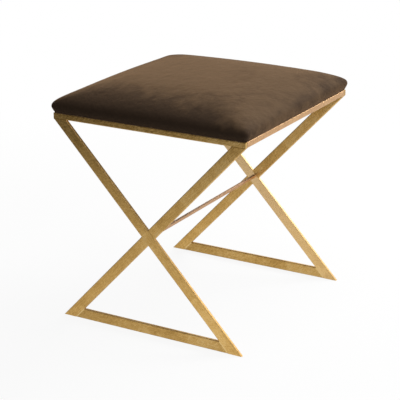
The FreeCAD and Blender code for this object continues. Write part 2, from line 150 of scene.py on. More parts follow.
def new_group(name, inputs, outputs):
    tree = bpy.data.node_groups.new(name, "ShaderNodeTree")
    for label, kind, value in inputs:
        socket = tree.interface.new_socket(label, in_out="INPUT", socket_type=kind)
        if value is not None:
            socket.default_value = value
    for label, kind in outputs:
        tree.interface.new_socket(label, in_out="OUTPUT", socket_type=kind)
    return tree, tree.nodes.new("NodeGroupInput").outputs, tree.nodes.new("NodeGroupOutput").inputs


def rubbed_arris_group():
    # how near a point of a bar lies to one of its four long arrises, and how far the leaf is rubbed there;
    # the same share paints the arris paler, a painted highlight
    tree, given, out = new_group("rubbed arris", [
        ("Bar Place", "NodeSocketVector", None), ("Half Face", "NodeSocketFloat", 0.01),
        ("Half Depth", "NodeSocketFloat", 0.003), ("Depth Centre", "NodeSocketFloat", 0.0),
        ("Rub Width", "NodeSocketFloat", 0.0016)],
        [("Rubbed And Highlit", "NodeSocketFloat"), ("Bared", "NodeSocketFloat"), ("Near", "NodeSocketFloat"),
         ("Sawn", "NodeSocketFloat")])
    place = add_node(tree, "ShaderNodeSeparateXYZ", {0: given["Bar Place"]}).outputs
    across = math_node(tree, "SUBTRACT", given["Half Face"], math_node(tree, "ABSOLUTE", place["Z"]))
    off = math_node(tree, "SUBTRACT", math_node(tree, "ABSOLUTE", place["Y"]), given["Depth Centre"])
    inward = math_node(tree, "SUBTRACT", given["Half Depth"], math_node(tree, "ABSOLUTE", off))
    edge = math_node(tree, "MAXIMUM", across, inward)
    near = math_node(tree, "SUBTRACT", 1.0, math_node(tree, "DIVIDE", edge, given["Rub Width"]), clamp=True)
    tree.links.new(near, out["Near"])
    tree.links.new(fade(tree, across, 0.0004, 0.0009, 1.0, 0.0), out["Sawn"])
    patch = noise(tree, given["Bar Place"], 160.0, 3.0, 0.6)
    rubbed_and_highlit = math_node(tree, "MULTIPLY", near, fade(tree, patch, 0.30, 0.70, 0.0, 0.75), clamp=True)
    tree.links.new(rubbed_and_highlit, out["Rubbed And Highlit"])
    speck = fade(tree, noise(tree, given["Bar Place"], 520.0, 2.0), 0.66, 0.74)
    tree.links.new(math_node(tree, "MULTIPLY", rubbed_and_highlit, speck), out["Bared"])
    return tree


def leaf_sheet_group():
    # overlapping leaf sheets along a bar, brushed strokes along and across it, and cloudy toning
    tree, given, out = new_group("leaf sheets", [
        ("Bar Place", "NodeSocketVector", None), ("Sheet Length", "NodeSocketFloat", 0.085),
        ("Start", "NodeSocketFloat", 0.0)],
        [("Tone", "NodeSocketFloat"), ("Strokes", "NodeSocketFloat"), ("Lap", "NodeSocketFloat")])
    where = given["Bar Place"]
    place = add_node(tree, "ShaderNodeSeparateXYZ", {0: where}).outputs
    # the sheets are laid end to end with ragged laps, and each has a tone of its own
    ragged = math_node(tree, "MULTIPLY_ADD", noise(tree, where, 90.0, 3.0), 0.06, -0.03)
    run = math_node(tree, "ADD", math_node(tree, "DIVIDE", place["X"], given["Sheet Length"]), ragged)
    run = math_node(tree, "ADD", run, given["Start"])
    sheet = math_node(tree, "FLOOR", run)
    along = math_node(tree, "SUBTRACT", run, sheet)
    own = add_node(tree, "ShaderNodeTexWhiteNoise", {"W": sheet}, noise_dimensions="1D").outputs["Value"]
    tree.links.new(fade(tree, along, 0.0, 0.012, 1.0, 0.0), out["Lap"])
    # cloudy toning, darker at the upper arris than at the lower one
    cloud = noise(tree, where, 26.0, 3.0, 0.55)
    mottle = noise(tree, where, 150.0, 3.0, 0.6)
    tone = math_node(tree, "MULTIPLY", math_node(tree, "ADD", cloud, mottle), 0.55)
    tone = math_node(tree, "ADD", tone, math_node(tree, "MULTIPLY_ADD", own, 0.20, -0.28))
    tone = math_node(tree, "MULTIPLY_ADD", place["Z"], -5.0, tone)
    # brush strokes, drawn along the bar and slanted across it
    drawn = noise(tree, stretched(tree, where, (60.0, 1400.0, 1400.0)), 1.0, 2.0)
    slanted = add_node(tree, "ShaderNodeMapping", {"Vector": where, "Rotation": (0.0, 0.9, 0.0)}).outputs[0]
    crossed = noise(tree, stretched(tree, slanted, (70.0, 900.0, 1300.0)), 1.0, 2.0)
    strokes = fade(tree, math_node(tree, "ADD", drawn, crossed), 0.68, 1.32)
    tree.links.new(strokes, out["Strokes"])
    tree.links.new(math_node(tree, "ADD", tone, math_node(tree, "MULTIPLY", strokes, 0.50)), out["Tone"])
    return tree


rubbed_and_highlit_arris = rubbed_arris_group()
leaf_sheets = leaf_sheet_group()
LEAF_TONES = [(0.30, (0.420, 0.235, 0.060)), (0.52, (0.620, 0.370, 0.105)), (0.72, (0.760, 0.480, 0.160)),
              (0.95, (0.880, 0.620, 0.270))]
# the arris tone is a painted highlight
ARRIS_HIGHLIGHT_GOLD = (0.97, 0.66, 0.36, 1.0)
# the next five tones, one per set of bars, stand in for how each set catches and reflects the light:
# painted light and painted reflection
PAINTED_GLEAM_GOLD = (0.99, 0.70, 0.36, 1.0)
PAINTED_WARM_LIGHT_GOLD = (0.95, 0.60, 0.20, 1.0)
PAINTED_ROSE_REFLECTION = (0.74, 0.42, 0.25, 1.0)
PAINTED_COPPER_REFLECTION = (0.56, 0.34, 0.21, 1.0)
PAINTED_DULL_SHADE_GOLD = (0.36, 0.22, 0.07, 1.0)
RED_PRIMER = (0.30, 0.10, 0.04, 1.0)


def gold_leaf(name, centre, turn, start, half_face=bar_face / 2, half_thick=bar_depth / 2,
              depth_centre=depth_middle, painted_light_share=0.0, painted_light_colour=(0.0, 0.0, 0.0, 1.0), painted_light_foot=None,
              rub_width=1.6 * MM):
    # leaf on one set of parallel bars; centre and turn bring the pattern into the bar's own directions, and
    # start shifts the sheets along it. A second tone of the set's own is mixed in by a share that may fall
    # to a second share below; it stands in for how that set catches and reflects the light: painted light
    # and painted reflection
    material, tree, shader, here = new_material(name)
    local = add_node(tree, "ShaderNodeMapping", {"Vector": here, "Location": centre, "Rotation": turn},
                     vector_type="TEXTURE").outputs[0]
    arris = add_node(tree, "ShaderNodeGroup", node_tree=rubbed_and_highlit_arris)
    sheets = add_node(tree, "ShaderNodeGroup", node_tree=leaf_sheets)
    tree.links.new(local, arris.inputs["Bar Place"])
    tree.links.new(local, sheets.inputs["Bar Place"])
    for label, value in (("Half Face", half_face), ("Half Depth", half_thick),
                         ("Depth Centre", depth_centre), ("Rub Width", rub_width)):
        arris.inputs[label].default_value = value
    sheets.inputs["Start"].default_value = start
    gold = ramp(tree, sheets.outputs["Tone"], LEAF_TONES)
    # the set's second tone: painted light and painted reflection
    if painted_light_foot is not None:
        run = add_node(tree, "ShaderNodeSeparateXYZ", {0: local}).outputs["X"]
        painted_light_share = fade(tree, run, 0.0, 0.25, painted_light_share, painted_light_foot)
    gold = mix_colour(tree, painted_light_share, gold, painted_light_colour)
    # where the leaf is rubbed the arris is painted paler: a painted highlight
    gold = mix_colour(tree, arris.outputs["Rubbed And Highlit"], gold, ARRIS_HIGHLIGHT_GOLD)
    gold = mix_colour(tree, arris.outputs["Bared"], gold, RED_PRIMER)
    tree.links.new(gold, shader.inputs["Base Color"])
    rough = math_node(tree, "MULTIPLY_ADD", sheets.outputs["Strokes"], 0.22, 0.20)
    rough = math_node(tree, "MULTIPLY_ADD", arris.outputs["Rubbed And Highlit"], -0.08, rough)
    rough = math_node(tree, "MULTIPLY_ADD", arris.outputs["Sawn"], 0.28, rough)
    tree.links.new(rough, shader.inputs["Roughness"])
    metal = math_node(tree, "MULTIPLY_ADD", arris.outputs["Bared"], -0.8, 0.96)
    metal = math_node(tree, "MULTIPLY_ADD", arris.outputs["Sawn"], -0.45, metal)
    metal = math_node(tree, "MULTIPLY_ADD", arris.outputs["Rubbed And Highlit"], -0.3, metal, clamp=True)
    tree.links.new(metal, shader.inputs["Metallic"])
    relief = math_node(tree, "MULTIPLY_ADD", sheets.outputs["Lap"], 0.5, sheets.outputs["Strokes"])
    worn = math_node(tree, "MULTIPLY", math_node(tree, "POWER", arris.outputs["Near"], 2.0), -1.0)
    rounded = add_node(tree, "ShaderNodeBump", {"Height": worn, "Strength": 1.0, "Distance": 0.0008})
    bump = add_node(tree, "ShaderNodeBump", {"Height": relief, "Strength": 0.5, "Distance": 0.00012,
                                             "Normal": rounded.outputs["Normal"]})
    tree.links.new(bump.outputs["Normal"], shader.inputs["Normal"])
    return material


def dress(node, material):
    mesh = nodes[node].data
    mesh.materials.clear()
    mesh.materials.append(material)


leaf_top_rail = gold_leaf("leaf_top_rails", rail_middle, (0, 0, 0), 0.3, half_face=half_rail)
leaf_side_rail = gold_leaf("leaf_side_rails", rail_middle, (0, 0, math.pi / 2), 0.7, half_face=half_rail,
                           depth_centre=half_width - bar_depth / 2, painted_light_share=0.55, painted_light_colour=PAINTED_ROSE_REFLECTION)
leaf_long_leg = gold_leaf("leaf_long_leg_front", crossing, (0, slope, 0), 0.15, painted_light_share=0.2,
                          painted_light_colour=PAINTED_WARM_LIGHT_GOLD)
leaf_long_back = gold_leaf("leaf_long_leg_back", crossing, (0, slope, 0), 0.65, painted_light_share=0.9,
                           painted_light_colour=PAINTED_GLEAM_GOLD, painted_light_foot=0.35, rub_width=0.7 * MM)
leaf_short_leg = gold_leaf("leaf_short_legs", crossing, (0, -slope, 0), 0.55, painted_light_share=0.2,
                           painted_light_colour=PAINTED_WARM_LIGHT_GOLD)
leaf_bottom_rail = gold_leaf("leaf_bottom_rails", (0, 0, bar_face / 2), (0, 0, 0), 0.9, painted_light_share=0.25,
                             painted_light_colour=PAINTED_DULL_SHADE_GOLD)
leaf_stretcher = gold_leaf("leaf_stretcher", crossing, (0, 0, math.pi / 2), 0.4, half_face=half_square,
                           half_thick=half_square, depth_centre=0.0, painted_light_share=0.85, painted_light_colour=PAINTED_COPPER_REFLECTION,
                           rub_width=0.6 * MM)
for side in ("front", "back"):
    dress("top_rail_" + side, leaf_top_rail)
    dress("leg_upper_" + side, leaf_short_leg)
    dress("leg_lower_" + side, leaf_short_leg)
    dress("bottom_rail_" + side, leaf_bottom_rail)
dress("leg_long_front", leaf_long_leg)
dress("leg_long_back", leaf_long_back)
dress("top_rail_left", leaf_side_rail)
dress("top_rail_right", leaf_side_rail)
dress("stretcher", leaf_stretcher)


# Corner plates
# Four small plates of 3 mm sheet, welded into the corners of the top frame after it was squared up. They
# sit out of sight under the seat, so they got brushed gold paint instead of leaf.


def add_relief(tree, shader, height, strength, distance):
    bump = add_node(tree, "ShaderNodeBump", {"Height": height, "Strength": strength, "Distance": distance})
    tree.links.new(bump.outputs["Normal"], shader.inputs["Normal"])


plate_paint, tree, shader, here = new_material("plate_paint")
strokes = noise(tree, stretched(tree, here, (90.0, 700.0, 90.0)), 1.0, 3.0)
thin_spots = fade(tree, noise(tree, here, 140.0, 4.0, 0.65), 0.60, 0.72)
paint = ramp(tree, strokes, [(0.3, (0.24, 0.15, 0.05)), (0.7, (0.42, 0.28, 0.11))])
tree.links.new(mix_colour(tree, thin_spots, paint, (0.10, 0.055, 0.03, 1.0)), shader.inputs["Base Color"])
tree.links.new(math_node(tree, "MULTIPLY_ADD", strokes, 0.25, 0.40), shader.inputs["Roughness"])
shader.inputs["Metallic"].default_value = 0.7
add_relief(tree, shader, strokes, 0.4, 0.0001)
for end in ("front", "back"):
    for side in ("left", "right"):
        dress("corner_plate_%s_%s" % (end, side), plate_paint)


# Weld seams
# Each bar is welded to the next along its rounded edge, and the bead is filed down until it only fills
# the groove. The beads run along the joints of both X frames and round the corners of the top frame.
groove_half = 1.15 * MM
groove_deep = 0.95 * MM
bead_proud = 0.06 * MM
bead_step = 0.8 * MM
toe_lift = 0.1
head_inset = 1 * MM


def bead_lines():
    # start, end and outward direction of each bead, on the joint's line at the bars' face
    lines = []
    normal = Vector((math.sin(slope), 0, math.cos(slope)))
    along = Vector((math.cos(slope), 0, -math.sin(slope)))
    centre = Vector(crossing)
    spread = bar_face / 2 / math.sin(2 * slope)
    offset = bar_face / 2 / math.tan(2 * slope)
    climb = Vector((-bar_face / math.tan(slope), 0, bar_face))
    for end in (-1, 1):
        for face_y, out in ((half_depth, end), (half_depth - bar_depth, -end)):
            lift, outward = Vector((0, end * face_y, 0)), Vector((0, out, 0))
            for flip in (-1, 1):
                seat = lift + centre + normal * flip * bar_face / 2 + along * flip * offset
                lines.append((seat - along * spread, seat + along * spread, outward))
            for side in (-1, 1):
                head = lift + Vector((side * (half_width - head_inset), 0, rail_bottom))
                lines.append((head, head - Vector((side * leg_cut, 0, 0)), outward))
                toe = lift + Vector((side * foot_inner, 0, 0))
                rise = Vector((side * climb.x, 0, climb.z))
                lines.append((toe + toe_lift * rise, toe + rise, outward))
        for side in (-1, 1):
            corner = Vector((side * half_width, end * (half_depth - bar_depth), rail_bottom))
            lines.append((corner, corner + Vector((0, 0, frame_top - rail_bottom)), Vector((side, 0, 0))))
    return lines


def face_outward(piece):
    shape = bmesh.new()
    shape.from_mesh(piece.data)
    bmesh.ops.recalc_face_normals(shape, faces=shape.faces)
    shape.to_mesh(piece.data)
    shape.free()


def shade_smooth(piece):
    for polygon in piece.data.polygons:
        polygon.use_smooth = True


def mesh_object(name, points, faces=()):
    mesh = bpy.data.meshes.new(name)
    mesh.from_pydata([tuple(p) for p in points], (), faces)
    mesh.update()
    piece = bpy.data.objects.new(name, mesh)
    scene.collection.objects.link(piece)
    return piece


# half a metre of face and depth keeps every bead away from the rubbed arrises and their painted highlight
weld_leaf = gold_leaf("leaf_weld_seams", crossing, (0, 0.4, 0), 0.2, half_face=0.5, half_thick=0.5,
                      depth_centre=0.0)
points, faces = [], []
# a bead's section, across and up, in shares of the groove's half width and of its depth or the bead's rise
profile = [(-1.3, -0.5), (-0.62, -1.0), (0.62, -1.0), (1.3, -0.5), (1.3, -0.05), (0.95, 0.1), (0.5, 1.0),
           (-0.5, 1.0), (-0.95, 0.1), (-1.3, -0.05)]
for start, end, outward in bead_lines():
    run = end - start
    sideways = run.normalized().cross(outward)
    steps = max(2, round(run.length / bead_step))
    first = len(points)
    for k in range(steps + 1):
        place = start + run * k / steps
        swell = 1 + 0.10 * math.sin(2.3 * k) + 0.06 * math.sin(0.9 * k + 1)
        for across, up in profile:
            rise = bead_proud * up * swell if up > 0 else groove_deep * up
            spread = groove_half * across * (swell if up > 0 else 1)
            points.append(place + sideways * spread + outward * rise)
    count = len(profile)
    for k in range(steps):
        a = first + k * count
        for n in range(count):
            m = (n + 1) % count
            faces.append((a + n, a + m, a + count + m, a + count + n))
    faces.append(tuple(first + n for n in reversed(range(count))))
    faces.append(tuple(first + steps * count + n for n in range(count)))
weld_seams = mesh_object("weld_seams", points, faces)
face_outward(weld_seams)
shade_smooth(weld_seams)
weld_seams.data.materials.append(weld_leaf)
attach(weld_seams, "root")


# Seat board
# A square of birch plywood, 12 mm thick, sawn to size with lightly rounded corners. Its faces show long
# straight grain and its edge the stacked plies; nearly all of it is hidden by the upholstery.
plywood, tree, shader, here = new_material("plywood")
grain = noise(tree, stretched(tree, here, (9.0, 320.0, 9.0)), 1.0, 4.0, 0.6)
height = add_node(tree, "ShaderNodeSeparateXYZ", {0: here}).outputs["Z"]
two_plies = 3.4 * MM
ply = math_node(tree, "DIVIDE", math_node(tree, "SUBTRACT", height, frame_top), two_plies)
ply = fade(tree, math_node(tree, "FRACT", ply), 0.45, 0.55)
veneer = ramp(tree, grain, [(0.35, (0.42, 0.28, 0.15)), (0.65, (0.62, 0.45, 0.27))])
veneer = mix_colour(tree, ply, veneer, (0.30, 0.18, 0.09, 1.0))
tree.links.new(veneer, shader.inputs["Base Color"])
shader.inputs["Roughness"].default_value = 0.7
add_relief(tree, shader, grain, 0.4, 0.0002)
dress("seat_board", plywood)


# Foam pad
# A block of open-cell foam, glued to the board, shaved to the crown and hidden under the batting. Foam,
# batting and velvet share one form: straight at the frame, swelling out a little, rolling over a soft
# shoulder and closing in a low crown.

# each level: height over the frame, inset from the frame's outside, corner radius, bow of the sides, in mm
CROWN = (63.4, 228.5, 0.2, 0.01)
LEVELS = [(0.0, -0.3, 7.0, 0.3), (4.0, -2.8, 7.5, 0.3), (8.5, -4.7, 8.0, 0.3), (13.2, -6.3, 7.0, 0.4),
          (20.2, -6.3, 8.0, 0.8), (26.5, -3.2, 13.0, 2.4), (32.6, 4.2, 16.0, 5.0),
          (39.9, 19.6, 28.0, 6.0), (48.0, 46.0, 46.0, 6.0), (55.0, 78.0, 60.0, 5.0),
          (59.8, 112.0, 66.0, 4.0), (62.0, 150.0, 50.0, 3.0), (63.1, 190.0, 22.0, 1.0), CROWN]
ring_gap = 5.0


def run_of_levels(depth):
    # levels of a layer that lies the given depth under the velvet, drawn in along the section's own normal
    drawn = []
    for k, (rise, inset, corner, bow) in enumerate(LEVELS):
        before, after = LEVELS[max(k - 1, 0)], LEVELS[min(k + 1, len(LEVELS) - 1)]
        up, out = after[0] - before[0], before[1] - after[1]
        length = math.hypot(up, out) or 1.0
        drawn.append((rise + out / length * depth, inset + up / length * depth,
                      max(corner - depth * 0.6, 0.1), bow))
    drawn[-1] = (drawn[-1][0], *CROWN[1:])
    return drawn


def smooth_between(before, start, end, after, t):
    # a curve through the levels that keeps close to the straight run between them
    value = []
    for b, s, e, a in zip(before, start, end, after):
        first, last = (e - b) / 2, (a - s) / 2
        if (e - s) * (s - b) <= 0:
            first = 0.0
        if (a - e) * (e - s) <= 0:
            last = 0.0
        limit = 3 * abs(e - s)
        first = max(-limit, min(limit, first))
        last = max(-limit, min(limit, last))
        value.append((2 * t ** 3 - 3 * t ** 2 + 1) * s + (t ** 3 - 2 * t ** 2 + t) * first
                     + (3 * t ** 2 - 2 * t ** 3) * e + (t ** 3 - t ** 2) * last)
    return value


def ring_levels(depth, floor):
    # levels of a layer at even steps along its section, from the middle of the crown down to its floor
    levels = run_of_levels(depth)
    fine = []
    for k in range(len(levels) - 1):
        before = levels[max(k - 1, 0)]
        after = levels[min(k + 2, len(levels) - 1)]
        for step in range(40):
            fine.append(smooth_between(before, levels[k], levels[k + 1], after, step / 40))
    fine.append(levels[-1])
    fine = [level for level in fine if level[0] >= floor]
    fine[0] = [floor] + list(fine[0][1:])
    travelled = [0.0]
    for a, b in zip(fine, fine[1:]):
        travelled.append(travelled[-1] + math.hypot(b[0] - a[0], b[1] - a[1]))
    count = max(8, round(travelled[-1] / ring_gap))
    rings = []
    for k in range(count + 1):
        target = travelled[-1] * (1 - k / count)
        index = max(i for i, t in enumerate(travelled) if t <= target + 1e-9)
        nxt = min(index + 1, len(fine) - 1)
        gap = travelled[nxt] - travelled[index] or 1.0
        share = min(1.0, (target - travelled[index]) / gap)
        rings.append([a + (b - a) * share for a, b in zip(fine[index], fine[nxt])])
    return rings


def ring_point(a, b, corner, bow, side, share):
    # a point on the level curve: side 0 to 3 counter-clockwise from +X, share -1 to 1 along that side
    half, other = (a, b) if side % 2 == 0 else (b, a)
    corner = min(corner, 0.62 * min(a, b))
    bow = min(bow, 0.08 * min(a, b))
    lean = math.atan2(2 * bow, max(other - corner, 1e-6))
    run = other - bow - corner * (math.cos(lean) - math.sin(lean))
    turn = math.pi / 4 - lean
    total = run + corner * turn
    s = abs(share) * total
    if s <= run:
        x, y = half - bow * (s / run) ** 2, s
    else:
        angle = lean + (s - run) / corner
        x = half - bow - corner * math.cos(lean) + corner * math.cos(angle)
        y = run - corner * math.sin(lean) + corner * math.sin(angle)
    if share < 0:
        y = -y
    for _ in range(side):
        x, y = -y, x
    return x, y


def cushion_mesh(name, depth, floor):
    # square rings of points round the crown, joined into one grid of four-sided faces, still open below
    width, length = half_width / MM, half_depth / MM
    rings = ring_levels(depth, floor)
    points, index, faces = [], {}, []
    for k, (rise, inset, corner, bow) in enumerate(rings):
        a = max(width - inset, 0.0)
        b = a * (length / width)
        for side in range(4):
            for j in range(-k, k):
                x, y = ring_point(a, b, corner, bow, side, j / k)
                i_grid, j_grid = k, j
                for _ in range(side):
                    i_grid, j_grid = -j_grid, i_grid
                index[(i_grid, j_grid)] = len(points)
                points.append((x * MM, y * MM, frame_top + rise * MM))
        if not k:
            index[(0, 0)] = 0
            points.append((0.0, 0.0, frame_top + rise * MM))
    last = len(rings) - 1
    for i in range(-last, last):
        for j in range(-last, last):
            faces.append((index[(i, j)], index[(i + 1, j)], index[(i + 1, j + 1)], index[(i, j + 1)]))
    piece = mesh_object(name, points, faces)
    shade_smooth(piece)
    return piece


def close_under(piece, floor):
    # turns the hem in under the board in a few steps and shuts the rest, which nothing can see
    shape = bmesh.new()
    shape.from_mesh(piece.data)
    edge = next(e for e in shape.edges if len(e.link_faces) == 1)
    loop = [edge.verts[0], edge.verts[1]]
    while True:
        onward = [e.other_vert(loop[-1]) for e in loop[-1].link_edges
                  if len(e.link_faces) == 1 and e.other_vert(loop[-1]) != loop[-2]]
        if onward[0] == loop[0]:
            break
        loop.append(onward[0])
    level = frame_top + floor * MM
    rim = [v.co.copy() for v in loop]
    outer = loop
    for turned_in in (0.5 * MM, 3 * MM, 9 * MM, 18 * MM, 27 * MM):
        keep_x, keep_y = 1 - turned_in / half_width, 1 - turned_in / half_depth
        inner = [shape.verts.new((c.x * keep_x, c.y * keep_y, level)) for c in rim]
        for k in range(len(loop)):
            n = (k + 1) % len(loop)
            shape.faces.new((outer[k], outer[n], inner[n], inner[k])).smooth = True
        outer = inner
    shape.faces.new(outer)
    bmesh.ops.recalc_face_normals(shape, faces=shape.faces)
    shape.to_mesh(piece.data)
    shape.free()


foam_depth = 7.4
board_top = (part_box("seat_board")[1][2] - frame_top) / MM
foam = cushion_mesh("foam_block", foam_depth, board_top)
close_under(foam, board_top)
foam_cells, tree, shader, here = new_material("foam_cells")
cells = add_node(tree, "ShaderNodeTexVoronoi", {"Vector": here, "Scale": 700.0}).outputs["Distance"]
foam_tones = ramp(tree, cells, [(0.1, (0.50, 0.42, 0.22)), (0.6, (0.78, 0.70, 0.46))])
tree.links.new(foam_tones, shader.inputs["Base Color"])
shader.inputs["Roughness"].default_value = 0.95
add_relief(tree, shader, cells, 0.6, 0.0004)
foam.data.materials.append(foam_cells)
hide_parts("foam_pad")
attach(foam, "root")


# Batting
# A layer of polyester fibre laid over the foam and pulled down round the board's edge, so that the velvet
# slides over a soft round form. Hidden under the velvet.
batting_depth = 3.4
batting = cushion_mesh("batting_layer", batting_depth, batting_depth)
close_under(batting, batting_depth)
fibre_fill, tree, shader, here = new_material("fibre_fill")
tangle = noise(tree, stretched(tree, here, (300.0, 1100.0, 600.0)), 1.0, 5.0, 0.7)
fibre_tones = ramp(tree, tangle, [(0.3, (0.62, 0.61, 0.58)), (0.7, (0.86, 0.85, 0.82))])
tree.links.new(fibre_tones, shader.inputs["Base Color"])
shader.inputs["Roughness"].default_value = 1.0
add_relief(tree, shader, tangle, 0.7, 0.0006)
batting.data.materials.append(fibre_fill)
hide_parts("batting_wrap")
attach(batting, "root")


# Velvet cover
# One square of dark brown cotton velvet, drawn tight over the crown, folded at the corners and turned in
# under the board. The pile lies in brushed clouds of paler and nearly black tone; on top of that its colour
# is painted darker low at the front and paler up the crown and on the right-hand side, painted shade and
# painted light. The cover starts a little small and is blown up as cloth, held along its hem.
start_depth = 0.9
swell_cap = 2.0 * MM
slide_cap = 0.3 * MM
held_band = 9 * MM
cloth_frames = 20
velvet = cushion_mesh("velvet_cushion", start_depth, 0.0)


def freedom(height):
    # how freely the cover moves at a height: not at all at its hem, fully above the held band
    return min(1.0, max(0.0, (height - frame_top) / held_band))


def blow_up(piece):
    # blows the cover up as cloth, then keeps the outward swell and a little of the slide, both evened out
    group = piece.vertex_groups.new(name="held")
    for vertex in piece.data.vertices:
        if vertex.co.z < frame_top + held_band:
            group.add([vertex.index], 1.0, "REPLACE")
    modifier = piece.modifiers.new("cloth", "CLOTH")
    cloth = modifier.settings
    cloth.quality = 6
    cloth.mass = 0.35
    cloth.tension_stiffness = 25
    cloth.compression_stiffness = 25
    cloth.shear_stiffness = 12
    cloth.bending_stiffness = 1.5
    cloth.use_pressure = True
    cloth.uniform_pressure_force = 4.0
    cloth.effector_weights.gravity = 0.0
    cloth.vertex_group_mass = "held"
    modifier.collision_settings.use_collision = False
    modifier.point_cache.frame_start = 1
    modifier.point_cache.frame_end = cloth_frames
    rest = [vertex.co.copy() for vertex in piece.data.vertices]
    for step in range(1, cloth_frames + 1):
        scene.frame_set(step)
    graph = bpy.context.evaluated_depsgraph_get()
    blown = piece.evaluated_get(graph).to_mesh()
    moved = [vertex.co.copy() for vertex in blown.vertices]
    piece.evaluated_get(graph).to_mesh_clear()
    piece.modifiers.remove(modifier)
    piece.vertex_groups.clear()
    scene.frame_set(1)
    swell, slide = [], []
    for vertex, old, new in zip(piece.data.vertices, rest, moved):
        out = (new - old).dot(vertex.normal)
        aside = new - old - vertex.normal * out
        swell.append(max(0.0, min(swell_cap, out)))
        slide.append(aside * min(1.0, slide_cap / max(aside.length, 1e-9)))
    beside = [[] for _ in swell]
    for edge in piece.data.edges:
        a, b = edge.vertices
        beside[a].append(b)
        beside[b].append(a)
    for _ in range(12):
        swell = [(value + sum(swell[n] for n in beside[k])) / (1 + len(beside[k]))
                 for k, value in enumerate(swell)]
    for _ in range(3):
        slide = [(value + sum((slide[n] for n in beside[k]), Vector())) / (1 + len(beside[k]))
                 for k, value in enumerate(slide)]
    for k, vertex in enumerate(piece.data.vertices):
        vertex.co = rest[k] + (vertex.normal * swell[k] + slide[k]) * freedom(rest[k].z)


blow_up(velvet)
refine = velvet.modifiers.new("refine", "SUBSURF")
refine.levels = refine.render_levels = 1
graph = bpy.context.evaluated_depsgraph_get()
finer = bpy.data.meshes.new_from_object(velvet.evaluated_get(graph))
velvet.modifiers.remove(refine)
velvet.data = finer
close_under(velvet, 0.0)

# the cover is gathered at each corner into a few short folds that run out up the side
fold_middle = 6 * MM
fold_reach = 26 * MM
fold_span = 30 * MM
fold_pitch = 2.2 * MM
fold_push = 0.35 * MM
hem_rise = 0.2 * MM
for vertex in velvet.data.vertices:
    x, y, z = vertex.co
    rise = z - frame_top
    if rise < hem_rise:
        vertex.co.z = max(z, frame_top)
        continue
    off = math.hypot(half_width - abs(x), half_depth - abs(y))
    strength = max(0.0, 1 - off / fold_span) * max(0.0, 1 - abs(rise - fold_middle) / fold_reach)
    across = ((half_width - abs(x)) - (half_depth - abs(y))) / fold_pitch
    outward = Vector((math.copysign(1, x), math.copysign(1, y), 0)).normalized()
    vertex.co += outward * fold_push * math.cos(across) * strength
shade_smooth(velvet)

# the colour is painted dark low at the front, most at the front left, and paler towards the crown and the
# right-hand side, painted shade and painted light, over random clouds of brushed nap
velvet_pile, tree, shader, here = new_material("velvet_pile")
sweep = noise(tree, stretched(tree, here, (9.0, 6.0, 9.0)), 1.0, 3.0, 0.6)
brushed = noise(tree, stretched(tree, here, (42.0, 30.0, 42.0)), 1.0, 4.0, 0.6)
pile = noise(tree, here, 900.0, 3.0, 0.7)
lean = math_node(tree, "MULTIPLY_ADD", sweep, 0.6, math_node(tree, "MULTIPLY", brushed, 0.4))
place = add_node(tree, "ShaderNodeSeparateXYZ", {0: here}).outputs
# paler with height over the frame, darker at the front and paler at the right-hand side: painted light and
# painted shade
rise = math_node(tree, "DIVIDE", math_node(tree, "SUBTRACT", place["Z"], frame_top), 0.06)
front = fade(tree, place["Y"], -half_depth, -0.4 * half_depth, -0.42, 0.0)
front_left_shade_reach = fade(tree, place["X"], 0.0, 0.8 * half_width, 1.0, 0.3)
rise = math_node(tree, "MULTIPLY_ADD", front, front_left_shade_reach, rise)
rise = math_node(tree, "ADD", rise, fade(tree, place["X"], 0.5 * half_width, half_width, 0.0, 0.28))
nap_and_painted_light = math_node(tree, "MULTIPLY_ADD", math_node(tree, "SUBTRACT", lean, 0.5), 2.4, rise)
# both tones carry the nap's random clouds and the painted light and shade
DARK_NAP_AND_SHADE = (0.048, 0.030, 0.019, 1.0)
PALE_NAP_AND_LIGHT = (0.120, 0.074, 0.040, 1.0)
# painted shade deep in the pile, in fine random specks
SHADE_BETWEEN_PILE = (0.012, 0.007, 0.004, 1.0)
colour = mix_colour(tree, fade(tree, nap_and_painted_light, 0.30, 1.0), DARK_NAP_AND_SHADE, PALE_NAP_AND_LIGHT)
colour = mix_colour(tree, math_node(tree, "MULTIPLY", pile, 0.4), colour, SHADE_BETWEEN_PILE)
tree.links.new(colour, shader.inputs["Base Color"])
tree.links.new(math_node(tree, "MULTIPLY_ADD", lean, -0.25, 0.95), shader.inputs["Roughness"])
shader.inputs["Specular IOR Level"].default_value = 0.08
shader.inputs["Sheen Weight"].default_value = 0.55
shader.inputs["Sheen Roughness"].default_value = 0.38
shader.inputs["Sheen Tint"].default_value = (0.53, 0.31, 0.15, 1.0)
relief = math_node(tree, "MULTIPLY_ADD", brushed, 8.0, pile)
add_relief(tree, shader, relief, 0.8, 0.0004)
velvet.data.materials.clear()
velvet.data.materials.append(velvet_pile)
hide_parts("velvet_cover")
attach(velvet, "root")


